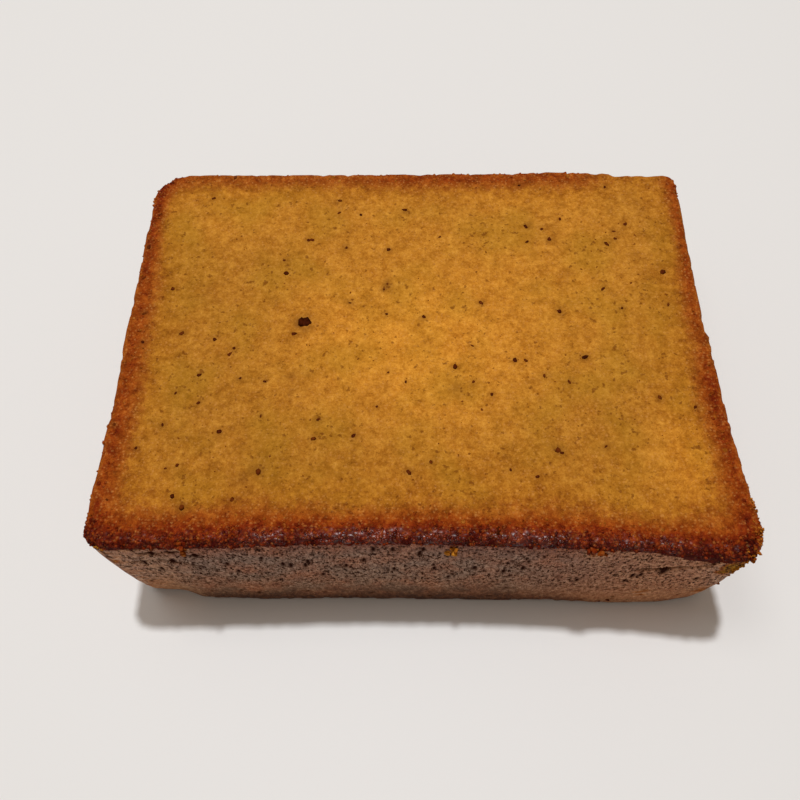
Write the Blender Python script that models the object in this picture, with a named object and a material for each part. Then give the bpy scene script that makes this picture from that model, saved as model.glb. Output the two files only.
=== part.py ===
"""A thick slice of earl grey pound cake, lying on one of its two cut faces.

Metres, +Z up. X runs across the loaf from wall to wall. Y runs from the loaf's browned top crust, at -Y, to the side
that lay on the floor of the tin, at +Y. Z is the slice's thickness. The origin is the centre of the face it rests on.
"""

import math
import random

import bmesh
import bpy

MM = 0.001

# Driving sizes: a loaf from a tin 80 mm wide and 60 mm deep, cut a little under 25 mm thick.
WIDTH = 81.8 * MM
LOAF_HEIGHT = 60 * MM
THICKNESS = 23.4 * MM

# Radii of the four upright corners, seen from above.
BACK_LEFT_RADIUS = 5.2 * MM
BACK_RIGHT_RADIUS = 2.4 * MM
FRONT_LEFT_RADIUS = 1.6 * MM
FRONT_RIGHT_RADIUS = 2.0 * MM
CORNER_SEGMENTS = 4

# The knife leaves the upper edge fairly crisp, and the lower one is pressed rounder by the slice's weight.
UPPER_RIM = 0.7 * MM
LOWER_RIM = 1.1 * MM
RIM_SEGMENTS = 2

# The mesh is cut into loops about this far apart, fine enough for the swells below.
LOOP_SPACING = 2.1 * MM

# Where the right wall leaves the true box: it curves in towards the back, and steps in once where the crust tore.
RIGHT_CURVE_IN = 1.6 * MM
RIGHT_CURVE_FRONT = -26 * MM
RIGHT_TEAR_IN = 0.45 * MM
RIGHT_TEAR_Y = 0.5 * MM
RIGHT_TEAR_LENGTH = 1.6 * MM

# The left wall is a little hollow in plan, and its front foot is drawn in and lifted off the table.
LEFT_HOLLOW = 0.3 * MM
LEFT_HOLLOW_Y = -8.5 * MM
LEFT_HOLLOW_HALF_LENGTH = 10 * MM
LEFT_FOOT_DRAWN_IN = 2.6 * MM
LEFT_FOOT_LIFT = 0.9 * MM

# The front lip stands back in the middle and leans out over the table at the right.
LIP_HOLLOW = 0.5 * MM
LIP_HOLLOW_X = -3 * MM
LIP_HOLLOW_HALF_WIDTH = 26 * MM
LIP_OVERHANG = 1.1 * MM
LIP_OVERHANG_FROM = 20 * MM
LIP_OVERHANG_FULL = 34 * MM

# The back wall has one low bulge, and a step where the crust is thinner.
BACK_BULGE = 0.3 * MM
BACK_BULGE_X = 20 * MM
BACK_BULGE_HALF_WIDTH = 9 * MM
BACK_STEP_IN = 0.55 * MM
BACK_STEP_X = 29.5 * MM
BACK_STEP_LENGTH = 2.5 * MM

# Every wall bellies out at half height, and the crumb sags a little between the crusts.
WALL_BELLY = 0.15 * MM
CRUMB_SAG = 0.25 * MM

# Swells are a sum of plane waves with seeded directions: the unevenness of baked crust and of cut crumb.
SWELL_SEED = 7
SWELL_WAVES = 26
SHORTEST_SWELL = 5 * MM
LONGEST_SWELL = 17 * MM
WALL_SWELL = 0.11 * MM
CUT_SWELL = 0.08 * MM

SLICE_COLLECTION = "earl_grey_pound_cake"
SLICE_NAME = "pound_cake_slice"
CRUMB_COLOUR = (0.55, 0.22, 0.03, 1.0)
CRUMB_ROUGHNESS = 0.75


def clear_scene():
    for obj in list(bpy.data.objects):
        bpy.data.objects.remove(obj)


def smooth_step(value, start, end):
    """0 before start, 1 after end, and an S-curve between them. It also runs downwards, where start is above end."""
    t = min(1.0, max(0.0, (value - start) / (end - start)))
    return t * t * (3 - 2 * t)


def bell(value, centre, half_width):
    """1 at centre, falling smoothly to 0 at half_width away."""
    return smooth_step(abs(value - centre), half_width, 0.0)


def seeded_waves():
    """Plane waves as (kx, ky, kz, phase, weight): long waves are tall, short ones low, and the weights' power is 1."""
    draw = random.Random(SWELL_SEED)
    waves = []
    for _ in range(SWELL_WAVES):
        length = SHORTEST_SWELL * (LONGEST_SWELL / SHORTEST_SWELL) ** draw.random()
        turn = draw.uniform(0, 2 * math.pi)
        rise = draw.uniform(-1, 1)
        flat = math.sqrt(1 - rise * rise)
        number = 2 * math.pi / length
        phase = draw.uniform(0, 2 * math.pi)
        direction = (flat * math.cos(turn), flat * math.sin(turn), rise)
        waves.append((*(number * part for part in direction), phase, length))
    power = math.sqrt(sum(wave[4] ** 2 for wave in waves) / 2)
    return [(*wave[:4], wave[4] / power) for wave in waves]


def swell_at(point, waves):
    """The sum of the waves at a point: about -2 to 2, with a standard deviation of 1."""
    return sum(
        weight * math.sin(kx * point.x + ky * point.y + kz * point.z + phase)
        for kx, ky, kz, phase, weight in waves
    )


def round_upright_corner(mesh, side_x, side_y, radius):
    """Bevels the upright edge on that side of X and Y into a quarter round of this radius."""
    edges = [
        edge
        for edge in mesh.edges
        if all(v.co.x * side_x > WIDTH / 2 - MM / 10 and v.co.y * side_y > LOAF_HEIGHT / 2 - MM / 10 for v in edge.verts)
    ]
    bmesh.ops.bevel(
        mesh, geom=edges, offset=radius, offset_type="OFFSET", segments=CORNER_SEGMENTS, profile=0.5, affect="EDGES"
    )


def round_rim(mesh, height, radius):
    """Bevels the closed loop of edges at this height."""
    edges = [edge for edge in mesh.edges if all(abs(v.co.z - height) < MM / 100 for v in edge.verts)]
    bmesh.ops.bevel(
        mesh, geom=edges, offset=radius, offset_type="OFFSET", segments=RIM_SEGMENTS, profile=0.5, affect="EDGES"
    )


def cut_loops(mesh, axis, low, high):
    """Cuts the whole mesh by evenly spaced planes across one axis, so that it has vertices to move."""
    count = round((high - low) / LOOP_SPACING)
    normal = [0.0, 0.0, 0.0]
    normal[axis] = 1.0
    for step in range(1, count):
        place = [0.0, 0.0, 0.0]
        place[axis] = low + (high - low) * step / count
        everything = mesh.verts[:] + mesh.edges[:] + mesh.faces[:]
        bmesh.ops.bisect_plane(mesh, geom=everything, dist=MM / 1000, plane_co=place, plane_no=normal)


def right_wall_inset(y):
    """How far the right wall stands in from the slice's widest place."""
    curve = min(1.0, max(0.0, (y - RIGHT_CURVE_FRONT) / (RIGHT_TEAR_Y - RIGHT_CURVE_FRONT)))
    tear = smooth_step(y, RIGHT_TEAR_Y - RIGHT_TEAR_LENGTH / 2, RIGHT_TEAR_Y + RIGHT_TEAR_LENGTH / 2)
    return RIGHT_CURVE_IN * curve * (2 - curve) + RIGHT_TEAR_IN * tear


def left_wall_inset(y, up):
    """How far the left wall stands in. up is 0 at the foot and 1 at the top, and the drawn foot fades with it."""
    foot = smooth_step(-y, 0.1 * LOAF_HEIGHT, 0.45 * LOAF_HEIGHT) * (1 - up)
    return LEFT_HOLLOW * bell(y, LEFT_HOLLOW_Y, LEFT_HOLLOW_HALF_LENGTH) + LEFT_FOOT_DRAWN_IN * foot


def front_wall_inset(x, up):
    """How far the front wall stands in, or out where it is negative. The lip's own shape fades towards the foot."""
    overhang = smooth_step(x, LIP_OVERHANG_FROM, LIP_OVERHANG_FULL)
    return up * (LIP_HOLLOW * bell(x, LIP_HOLLOW_X, LIP_HOLLOW_HALF_WIDTH) - LIP_OVERHANG * overhang)


def back_wall_inset(x):
    """How far the back wall stands in, or out where it is negative."""
    step = smooth_step(x, BACK_STEP_X - BACK_STEP_LENGTH / 2, BACK_STEP_X + BACK_STEP_LENGTH / 2)
    return BACK_STEP_IN * step - BACK_BULGE * bell(x, BACK_BULGE_X, BACK_BULGE_HALF_WIDTH)


def moved(point, waves):
    """Where a point of the rounded box goes on the real slice. Each wall's moves fade to nothing away from it."""
    x, y, z = point
    across, along, up = 2 * x / WIDTH, 2 * y / LOAF_HEIGHT, z / THICKNESS
    right, left = max(0.0, across) ** 5, max(0.0, -across) ** 5
    back, front = max(0.0, along) ** 5, max(0.0, -along) ** 5
    swell = swell_at(point, waves)
    outwards = WALL_BELLY * 4 * up * (1 - up) + WALL_SWELL * swell
    new_x = x + right * (outwards - right_wall_inset(y)) - left * (outwards - left_wall_inset(y, up))
    new_y = y + back * (outwards - back_wall_inset(x)) - front * (outwards - front_wall_inset(x, up))

    top = smooth_step(up, 0.5, 1.0)
    inside = (1 - across**4) * (1 - along**4)
    left_foot = smooth_step(-across, 0.72, 0.98) * smooth_step(-along, 0.9, 1.0) * (1 - up) ** 3
    new_z = z + top * (CUT_SWELL * swell - CRUMB_SAG * inside) + LEFT_FOOT_LIFT * left_foot
    return new_x, new_y, new_z


def centre_footprint(mesh):
    """Slides the mesh so that the middle of its box, seen from above, is at the origin."""
    xs = [vertex.co.x for vertex in mesh.verts]
    ys = [vertex.co.y for vertex in mesh.verts]
    middle = ((min(xs) + max(xs)) / 2, (min(ys) + max(ys)) / 2, 0.0)
    bmesh.ops.translate(mesh, vec=(-middle[0], -middle[1], 0.0), verts=mesh.verts)


def slice_mesh():
    """The box with its edges rounded, cut into loops and moved into the slice's real form."""
    mesh = bmesh.new()
    bmesh.ops.create_cube(mesh, size=1.0)
    bmesh.ops.scale(mesh, vec=(WIDTH, LOAF_HEIGHT, THICKNESS), verts=mesh.verts)
    bmesh.ops.translate(mesh, vec=(0, 0, THICKNESS / 2), verts=mesh.verts)
    round_upright_corner(mesh, -1, 1, BACK_LEFT_RADIUS)
    round_upright_corner(mesh, 1, 1, BACK_RIGHT_RADIUS)
    round_upright_corner(mesh, -1, -1, FRONT_LEFT_RADIUS)
    round_upright_corner(mesh, 1, -1, FRONT_RIGHT_RADIUS)
    round_rim(mesh, THICKNESS, UPPER_RIM)
    round_rim(mesh, 0.0, LOWER_RIM)
    cut_loops(mesh, 0, -WIDTH / 2, WIDTH / 2)
    cut_loops(mesh, 1, -LOAF_HEIGHT / 2, LOAF_HEIGHT / 2)
    cut_loops(mesh, 2, 0.0, THICKNESS)
    resting = [face for face in mesh.faces if all(v.co.z < MM / 100 for v in face.verts)]
    bmesh.ops.dissolve_faces(mesh, faces=resting)
    waves = seeded_waves()
    for vertex in mesh.verts:
        resting_vertex = vertex.co.z < MM / 100
        x, y, z = moved(vertex.co, waves)
        vertex.co = (x, y, 0.0 if resting_vertex else z)
    centre_footprint(mesh)
    bmesh.ops.triangulate(mesh, faces=mesh.faces)
    return mesh


def crumb_material():
    material = bpy.data.materials.new("baked_crumb")
    material.use_nodes = True
    shader = material.node_tree.nodes["Principled BSDF"]
    shader.inputs["Base Color"].default_value = CRUMB_COLOUR
    shader.inputs["Roughness"].default_value = CRUMB_ROUGHNESS
    return material


def build():
    clear_scene()
    collection = bpy.data.collections.new(SLICE_COLLECTION)
    bpy.context.scene.collection.children.link(collection)
    data = bpy.data.meshes.new(SLICE_NAME)
    mesh = slice_mesh()
    mesh.to_mesh(data)
    mesh.free()
    data.materials.append(crumb_material())
    data.shade_smooth()
    collection.objects.link(bpy.data.objects.new(SLICE_NAME, data))


build()
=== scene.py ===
# %% [markdown]
# # A slice of earl grey pound cake
#
# This lesson dresses one slice of a loaf cake. The slice lies on a cut face. Its upper cut face is a golden
# crumb with dark tea leaf in it. A browned crust runs round it, and the walls are the loaf's own baked skin.
#
# The plain solid is the frame. Everything made here takes its size and place from it.

import itertools
import math

import bpy
import numpy as np
from mathutils import Matrix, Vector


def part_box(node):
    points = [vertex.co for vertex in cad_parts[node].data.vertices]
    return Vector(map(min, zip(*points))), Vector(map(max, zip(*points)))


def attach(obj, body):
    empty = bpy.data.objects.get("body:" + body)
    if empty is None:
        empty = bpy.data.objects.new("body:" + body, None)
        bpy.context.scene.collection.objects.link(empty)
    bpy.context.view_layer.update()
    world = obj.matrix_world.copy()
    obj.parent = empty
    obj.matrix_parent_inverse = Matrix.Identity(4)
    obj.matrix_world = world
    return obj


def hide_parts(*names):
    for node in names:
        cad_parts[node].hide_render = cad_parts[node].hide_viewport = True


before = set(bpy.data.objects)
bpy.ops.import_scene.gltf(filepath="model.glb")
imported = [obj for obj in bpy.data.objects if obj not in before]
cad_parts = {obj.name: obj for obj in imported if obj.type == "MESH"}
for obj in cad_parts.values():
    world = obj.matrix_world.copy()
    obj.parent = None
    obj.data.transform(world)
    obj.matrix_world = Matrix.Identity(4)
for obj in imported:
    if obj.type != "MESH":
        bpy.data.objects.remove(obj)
SLICE = "pound_cake_slice"
MM = 0.001
cad_low, cad_high = (np.array(corner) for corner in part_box(SLICE))
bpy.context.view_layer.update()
print("the solid is", np.round((cad_high - cad_low) / MM, 2), "mm")

# %% [markdown]
# ## The camera
#
# The picture was taken close up, with a wide lens, from just in front of the slice. The nearer a camera is,
# the faster things shrink behind it, so the distance has to be right before anything else can be compared. A
# phone's main lens sees like a 26 mm lens on 36 mm film. In a square picture cut from it, that is a field as
# wide as the lens is long.

# %% Place the camera
PICTURE = 800
LENS = 36.0
FILM = 36.0
CAMERA_PLACE = np.array([0.2, -59.85, 115.4]) * MM
CAMERA_PITCH = math.radians(61.4)
CAMERA_YAW = math.radians(3.22)
CAMERA_ROLL = math.radians(-2.69)


def turned(axis, angle):
    """A 3 by 3 turn about one axis, 0 for X to 2 for Z, anticlockwise seen from the axis's end."""
    a, b = (axis + 1) % 3, (axis + 2) % 3
    turn = np.eye(3)
    turn[a, a] = turn[b, b] = math.cos(angle)
    turn[b, a] = math.sin(angle)
    turn[a, b] = -math.sin(angle)
    return turn


def stand(made, turn, place):
    """Puts a camera or a lamp at its place, turned by a 3 by 3 turn."""
    made.matrix_world = Matrix([[*turn[row], place[row]] for row in range(3)] + [[0, 0, 0, 1]])
    bpy.context.scene.collection.objects.link(made)


camera_turn = turned(2, CAMERA_YAW) @ turned(0, math.pi / 2 - CAMERA_PITCH) @ turned(2, CAMERA_ROLL)
camera_data = bpy.data.cameras.new("camera")
camera_data.lens = LENS
camera_data.sensor_width = FILM
camera_data.clip_start = 0.01
camera_data.clip_end = 10.0
camera = bpy.data.objects.new("camera", camera_data)
stand(camera, camera_turn, CAMERA_PLACE)
bpy.context.scene.camera = camera
print("the camera is", round(float(CAMERA_PLACE[2] / MM)), "mm above the table")


# %% Between pixels and places
def in_picture(points):
    """The pixel where each point shows: its place across and up from the camera, over its distance ahead."""
    seen = (points - CAMERA_PLACE) @ camera_turn
    return PICTURE / 2 + PICTURE * LENS / FILM * seen[:, :2] * [-1, 1] / seen[:, 2:]


def shown_at(pixels, points):
    """For each pixel, the index of the point that shows nearest to it."""
    apart = in_picture(points)[None] - np.array(pixels, float)[:, None]
    return (apart**2).sum(-1).argmin(1)


print("the origin shows at pixel", np.round(in_picture(np.zeros((1, 3))))[0])

# %% [markdown]
# ## The slice's form
#
# The slice is a box that was baked and cut: rounded upright corners, softly pressed rims, walls that wander.
# One way to model it is a cube under a Bevel modifier. Here it is a lattice instead. The skin of a box is cut
# into a grid, and then every grid point is moved by formulas. A lattice has evenly sized cells all over, so
# the fine relief that comes later has somewhere to go.

# %% A box's skin as one lattice
CELL = 0.47 * MM
RIM_CELL = 0.22 * MM
RIM_ZONE = 1.8 * MM


def graded_line(length):
    """Positions from one end to the other: fine steps near both ends, for the rims, wider ones between."""
    rim = np.arange(0, RIM_ZONE, RIM_CELL)
    steps = round((length - 2 * RIM_ZONE) / CELL)
    between = np.linspace(RIM_ZONE, length - RIM_ZONE, steps + 1)
    return np.concatenate([rim, between, length - rim[::-1]]) - length / 2


def box_skin(lines):
    """Points and quads of a box's skin. Each face is a grid of two parameters, written as whole-number
    addresses in the box's lattice. Neighbouring faces share the addresses along their edge, so the skin
    closes with no seam."""
    last = [len(line) - 1 for line in lines]
    stride = ((last[1] + 1) * (last[2] + 1), last[2] + 1, 1)
    sheets = []
    # Each face has two axes across it, one that it is square to, and the end of that one where it lies.
    for a, b, c, end in ((0, 1, 2, 1), (1, 0, 2, 0), (0, 2, 1, 0), (2, 0, 1, 1), (2, 1, 0, 0), (1, 2, 0, 1)):
        i, j = np.meshgrid(np.arange(last[a]), np.arange(last[b]), indexing="ij")
        corner = i * stride[a] + j * stride[b] + end * last[c] * stride[c]
        loop = [corner, corner + stride[a], corner + stride[a] + stride[b], corner + stride[b]]
        sheets.append(np.stack(loop, -1).reshape(-1, 4))
    cut_quads = len(sheets[0]) + len(sheets[1])
    addresses, quads = np.unique(np.concatenate(sheets), return_inverse=True)
    steps = np.unravel_index(addresses, [count + 1 for count in last])
    points = np.stack([line[step] for line, step in zip(lines, steps)], -1)
    return points, quads.reshape(-1, 4), cut_quads


BOX = np.array([81.8, 60.0, 23.4]) * MM
box_points, quads, cut_quads = box_skin([graded_line(length) for length in BOX])
print(len(box_points), "points,", 2 * len(quads), "triangles")


# %% Soft steps and bells
def soft_step(value, start, end):
    """0 before start, 1 after end, and 3t^2 - 2t^3 between. Where start is above end it runs downwards."""
    t = np.clip((value - start) / (end - start), 0, 1)
    return t * t * (3 - 2 * t)


def bell(value, centre, half_width):
    """1 at the centre, falling softly to 0 at half_width away."""
    return soft_step(np.abs(value - centre), half_width, 0)


def square_to_disc(a, b):
    """Carries a square corner onto a round one. Each side is multiplied by the root of 1 less half the
    other's square."""
    return a * np.sqrt(1 - b * b / 2), b * np.sqrt(1 - a * a / 2)


# %% Round the upright corners, then the rims
CORNER_RADII = {(-1, 1): 5.2 * MM, (1, 1): 2.4 * MM, (-1, -1): 2.6 * MM, (1, -1): 3.0 * MM}
UPPER_RIM = 0.8 * MM
LOWER_RIM = 0.7 * MM


def round_corners(points):
    """The plan with its corners rounded, each point's distance in from the outline, and the way out to it."""
    half = BOX[:2] / 2
    plan = points[:, :2].copy()
    side = np.where(plan < 0, -1, 1)
    gaps = half - np.abs(plan)
    inset = gaps.min(1)
    way_out = np.where(gaps[:, :1] < gaps[:, 1:], [[1.0, 0.0]], [[0.0, 1.0]]) * side
    for (side_x, side_y), radius in CORNER_RADII.items():
        place = (radius - gaps) / radius
        here = (side == [side_x, side_y]).all(1) & (place > 0).all(1)
        turned_in = np.stack(square_to_disc(*place[here].T), -1)
        reach = np.hypot(*turned_in.T)
        plan[here] = side[here] * (half - radius + radius * turned_in)
        inset[here] = radius * (1 - reach)
        way_out[here] = side[here] * turned_in / np.maximum(reach, 1e-9)[:, None]
    return plan, inset, way_out


def round_rims(points):
    """The box with round corners and rims. On a disc, a rim point moves in, and down or up."""
    plan, inset, way_out = round_corners(points)
    height = points[:, 2].copy()
    for side, radius in ((1, UPPER_RIM), (-1, LOWER_RIM)):
        outwards = np.clip(1 - inset / radius, 0, 1)
        upwards = np.clip(1 - (BOX[2] / 2 - side * height) / radius, 0, 1)
        near_out, near_up = square_to_disc(outwards, upwards)
        plan -= way_out * (radius * (outwards - near_out))[:, None]
        height -= side * radius * (upwards - near_up)
    return np.column_stack([plan, height + BOX[2] / 2]), inset


rounded, inset = round_rims(box_points)
print("rims rounded to", UPPER_RIM / MM, "and", LOWER_RIM / MM, "mm")

# %% [markdown]
# ## Noise
#
# Baked things are uneven at every size, and evenly so nowhere. Two kinds of noise give that. Soft noise is a
# rolling landscape. Bubbles are round hollows of many sizes, like the air in a batter. Both are worked out in
# three dimensions and read where the slice's skin passes through them, so a knife cut shows each bubble at a
# chance depth.

# %% Soft noise and bubbles
NOISE_TABLE = 4096
CUBE_CORNERS = list(itertools.product((0, 1), repeat=3))
CUBE_NEIGHBOURS = list(itertools.product((-1, 0, 1), repeat=3))


def cube_number(cubes):
    """A random-looking whole number for each cube: its address times three large primes, mixed by bits."""
    mixed = (cubes[:, 0] * 73856093) ^ (cubes[:, 1] * 19349663) ^ (cubes[:, 2] * 83492791)
    return mixed % NOISE_TABLE


def soft_noise(points, size, seed):
    """Space in cubes of this size, a random height from -1 to 1 at each corner, blended along each axis by
    3t^2 - 2t^3. The size can be three numbers, for noise that is stretched."""
    heights = np.random.default_rng(seed).uniform(-1, 1, NOISE_TABLE)
    cubes = np.floor(points / size).astype(np.int64)
    t = points / size - cubes
    t = t * t * (3 - 2 * t)
    total = np.zeros(len(points))
    for corner in CUBE_CORNERS:
        weight = np.where(corner, t, 1 - t).prod(1)
        total += weight * heights[cube_number(cubes + corner)]
    return total


def bubbles(points, spacing, radii, share, seed):
    """How deep each point lies in a bubble, from 0 to the bubble's radius. Space is cut into cubes of this
    spacing. A share of them hold a bubble, with a random centre and radius r. At a distance d from the
    centre, the depth is r times (1 - (d/r)^2)^2."""
    draw = np.random.default_rng(seed)
    centres = draw.uniform(0.1, 0.9, (NOISE_TABLE, 3))
    sizes = draw.uniform(*radii, NOISE_TABLE) * (draw.uniform(0, 1, NOISE_TABLE) < share)
    home = np.floor(points / spacing).astype(np.int64)
    deepest = np.zeros(len(points))
    for neighbour in CUBE_NEIGHBOURS:
        cube = home + neighbour
        number = cube_number(cube)
        offset = points - (cube + centres[number]) * spacing
        distance = (offset**2).sum(1) / np.maximum(sizes[number], 1e-9) ** 2
        deepest = np.maximum(deepest, sizes[number] * np.clip(1 - distance, 0, 1) ** 2)
    return deepest


def layers(points, table, start=0.0):
    """Layers of soft noise, added up. The table gives each layer's size, strength and seed."""
    return sum((strength * soft_noise(points, size, seed) for size, strength, seed in table), start)


print("soft noise and bubbles are ready")

# %% [markdown]
# ## Where the walls wander
#
# Measured against the picture, no wall is straight. The right one curves in towards the back and steps in
# once, where the crust tore. The front lip stands back in its middle and leans out at the right. The front
# foot is drawn in at both ends. The solid has the same moves, without the smallest of them.

# %% Move the walls
RIGHT_CURVE_IN = 1.6 * MM
RIGHT_CURVE_FRONT = -26 * MM
RIGHT_TEAR_IN = 0.45 * MM
RIGHT_TEAR_Y = 0.5 * MM
RIGHT_TEAR_LENGTH = 0.9 * MM
LEFT_HOLLOW = 0.3 * MM
LEFT_HOLLOW_Y = -8.5 * MM
LEFT_HOLLOW_HALF_LENGTH = 10 * MM
LEFT_FOOT_DRAWN_IN = 1.0 * MM
LEFT_FOOT_ALONG = (0.1 * BOX[1], 0.45 * BOX[1])
LEFT_FOOT_LIFT = 0.9 * MM
LIFT_ACROSS = (0.72, 0.98)
LIFT_ALONG = (0.9, 1.0)
LIP_HOLLOW = 1.0 * MM
LIP_HOLLOW_X = -1 * MM
LIP_HOLLOW_HALF_WIDTH = 38 * MM
LIP_OVERHANG = 0.9 * MM
LIP_OVERHANG_FROM = 26 * MM
LIP_OVERHANG_FULL = 39 * MM
LEFT_FOOT_SET_BACK = 1.0 * MM
LEFT_FOOT_FROM = -31.0 * MM
LEFT_FOOT_FULL = -34.5 * MM
RIGHT_FOOT_SET_BACK = 0.9 * MM
RIGHT_FOOT_FROM = 33 * MM
RIGHT_FOOT_FULL = 40 * MM
FOOT_BULGES = ((-22 * MM, 11 * MM, 0.2 * MM), (27 * MM, 9 * MM, 0.25 * MM))
BACK_BULGE = 0.3 * MM
BACK_BULGE_X = 20 * MM
BACK_BULGE_HALF_WIDTH = 9 * MM
BACK_STEP_IN = 0.55 * MM
BACK_STEP_X = 29.5 * MM
BACK_STEP_LENGTH = 1.6 * MM
WALL_BELLY = 0.15 * MM
CRUMB_SAG = 0.25 * MM


def right_inset(y):
    """The right wall's curve is 2t - t^2 from its front to the tear, and the tear adds a soft step."""
    curve = np.clip((y - RIGHT_CURVE_FRONT) / (RIGHT_TEAR_Y - RIGHT_CURVE_FRONT), 0, 1)
    tear = soft_step(y, RIGHT_TEAR_Y - RIGHT_TEAR_LENGTH / 2, RIGHT_TEAR_Y + RIGHT_TEAR_LENGTH / 2)
    return RIGHT_CURVE_IN * curve * (2 - curve) + RIGHT_TEAR_IN * tear


def left_inset(y, up):
    """The left wall's hollow is a bell. Its foot is drawn in towards the front by a soft step, in proportion
    to the way down."""
    foot = soft_step(-y, *LEFT_FOOT_ALONG) * (1 - up)
    return LEFT_HOLLOW * bell(y, LEFT_HOLLOW_Y, LEFT_HOLLOW_HALF_LENGTH) + LEFT_FOOT_DRAWN_IN * foot


def front_inset(x, up):
    """The lip is a bell less a soft step, in proportion to the way up. The foot is two soft steps less its
    bulges, which are bells, in proportion to the square of the way down."""
    overhang = soft_step(x, LIP_OVERHANG_FROM, LIP_OVERHANG_FULL)
    lip = LIP_HOLLOW * bell(x, LIP_HOLLOW_X, LIP_HOLLOW_HALF_WIDTH) - LIP_OVERHANG * overhang
    foot = LEFT_FOOT_SET_BACK * soft_step(x, LEFT_FOOT_FROM, LEFT_FOOT_FULL)
    foot += RIGHT_FOOT_SET_BACK * soft_step(x, RIGHT_FOOT_FROM, RIGHT_FOOT_FULL)
    foot -= sum(depth * bell(x, middle, half) for middle, half, depth in FOOT_BULGES)
    return up * lip + (1 - up) ** 2 * foot


def back_inset(x):
    """The back is a soft step at its right end less a bell."""
    step = soft_step(x, BACK_STEP_X - BACK_STEP_LENGTH / 2, BACK_STEP_X + BACK_STEP_LENGTH / 2)
    return BACK_STEP_IN * step - BACK_BULGE * bell(x, BACK_BULGE_X, BACK_BULGE_HALF_WIDTH)


def wander(points):
    """Each wall moves in by its own inset and out by its belly, fading as the fifth power of the way to it.
    The upper face sags in its middle, and the foot's left front corner is lifted."""
    x, y, z = points.T
    across, along, up = 2 * x / BOX[0], 2 * y / BOX[1], z / BOX[2]
    belly = WALL_BELLY * 4 * up * (1 - up)
    new_x = x + np.maximum(across, 0) ** 5 * (belly - right_inset(y))
    new_x -= np.maximum(-across, 0) ** 5 * (belly - left_inset(y, up))
    new_y = y + np.maximum(along, 0) ** 5 * (belly - back_inset(x))
    new_y -= np.maximum(-along, 0) ** 5 * (belly - front_inset(x, up))
    inside = (1 - across**4) * (1 - along**4)
    left_foot = soft_step(-across, *LIFT_ACROSS) * soft_step(-along, *LIFT_ALONG) * (1 - up) ** 3
    new_z = z - CRUMB_SAG * inside * soft_step(up, 0.5, 1.0)
    new_z += np.where(z > RIM_CELL / 4, LEFT_FOOT_LIFT * left_foot, 0)
    return np.column_stack([new_x, new_y, new_z])


form = wander(rounded)
print("the walls wander by up to", round(float(np.abs(form - rounded).max() / MM), 2), "mm")

# %% [markdown]
# ## Relief
#
# The cut crumb is open and finely pitted. The baked skin is tighter, with round pits where bubbles met the
# paper. The rim between them is ragged, because crust crumbles where the knife leaves it. All of it is real
# relief in the mesh, along each point's own outward direction. Only grain finer than the mesh is left to the
# finish.

# %% Make the mesh, and read which way each point faces
def mesh_from(name, points, faces):
    """A mesh object of these points and faces, smooth shaded. It stays at the origin, as its points do."""
    mesh = bpy.data.meshes.new(name)
    mesh.from_pydata(points.tolist(), [], faces.tolist())
    mesh.shade_smooth()
    made = bpy.data.objects.new(name, mesh)
    bpy.context.scene.collection.objects.link(made)
    return made


def read_points(mesh, what="co"):
    """A mesh's points, or another vector that each of them has, as rows of three."""
    values = np.empty(len(mesh.vertices) * 3, np.float32)
    mesh.vertices.foreach_get(what, values)
    return values.reshape(-1, 3).astype(float)


body = mesh_from("loaf_slice", form, quads)
outwards = read_points(body.data, "normal")
on_wall = np.abs(box_points[:, 2]) < BOX[2] / 2 - RIM_CELL / 4
print(int(on_wall.sum()), "points are baked skin,", int((~on_wall).sum()), "are cut crumb")

# %% Pits, swells and the ragged rim
# Swells and rags: size, strength and seed. Pits: spacing, least and greatest radius, share and seed.
CRUMB_SWELL = 0.035 * MM
CRUMB_SWELLS = ((3.1 * MM, 1.0, 13), (1.3 * MM, 1.0, 14))
CRUMB_PIT_DEPTH = 0.45
CRUMB_PITS = ((2.6 * MM, (0.35 * MM, 0.8 * MM), 0.3, 11), (1.6 * MM, (0.25 * MM, 0.5 * MM), 0.35, 12))
SKIN_SWELL = 0.06 * MM
SKIN_SWELLS = ((4.5 * MM, 1.0, 23), (1.4 * MM, 0.7, 24))
SKIN_PIT_DEPTH = 0.6
SKIN_PITS = ((2.9 * MM, (0.35 * MM, 0.6 * MM), 0.3, 21), (1.7 * MM, (0.28 * MM, 0.42 * MM), 0.35, 22))
RAG_DEPTH = 0.36 * MM
RAG_WIDTH = 1.2 * MM
RAG_LEVEL = 0.15
RAGS = ((1.5 * MM, 1.0, 31), (0.75 * MM, 0.9, 32))
CRUMBLY_EVERYWHERE = 0.55
CRUMBLY_AT_FRONT = 0.45
CRUMBLY_ALONG = (-0.3 * BOX[1], 0.1 * BOX[1])

to_cut = BOX[2] / 2 - np.abs(box_points[:, 2])
rim_nearness = soft_step(np.hypot(inset, to_cut), RAG_WIDTH, 0)
crumbliness = CRUMBLY_EVERYWHERE + CRUMBLY_AT_FRONT * soft_step(-form[:, 1], *CRUMBLY_ALONG)
crumb_pits = sum(CRUMB_PIT_DEPTH * bubbles(form, *values) for values in CRUMB_PITS)
crumb_swell = CRUMB_SWELL * layers(form, CRUMB_SWELLS)
skin_pits = sum(SKIN_PIT_DEPTH * bubbles(form, *values) for values in SKIN_PITS)
skin_swell = SKIN_SWELL * layers(form, SKIN_SWELLS)
rag = np.clip(layers(form, RAGS, RAG_LEVEL), 0, 1)
relief = np.where(on_wall, skin_pits + skin_swell, crumb_pits + crumb_swell)
relief += RAG_DEPTH * rim_nearness * crumbliness * rag
print("relief is up to", round(float(relief.max() / MM), 2), "mm deep")

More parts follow.
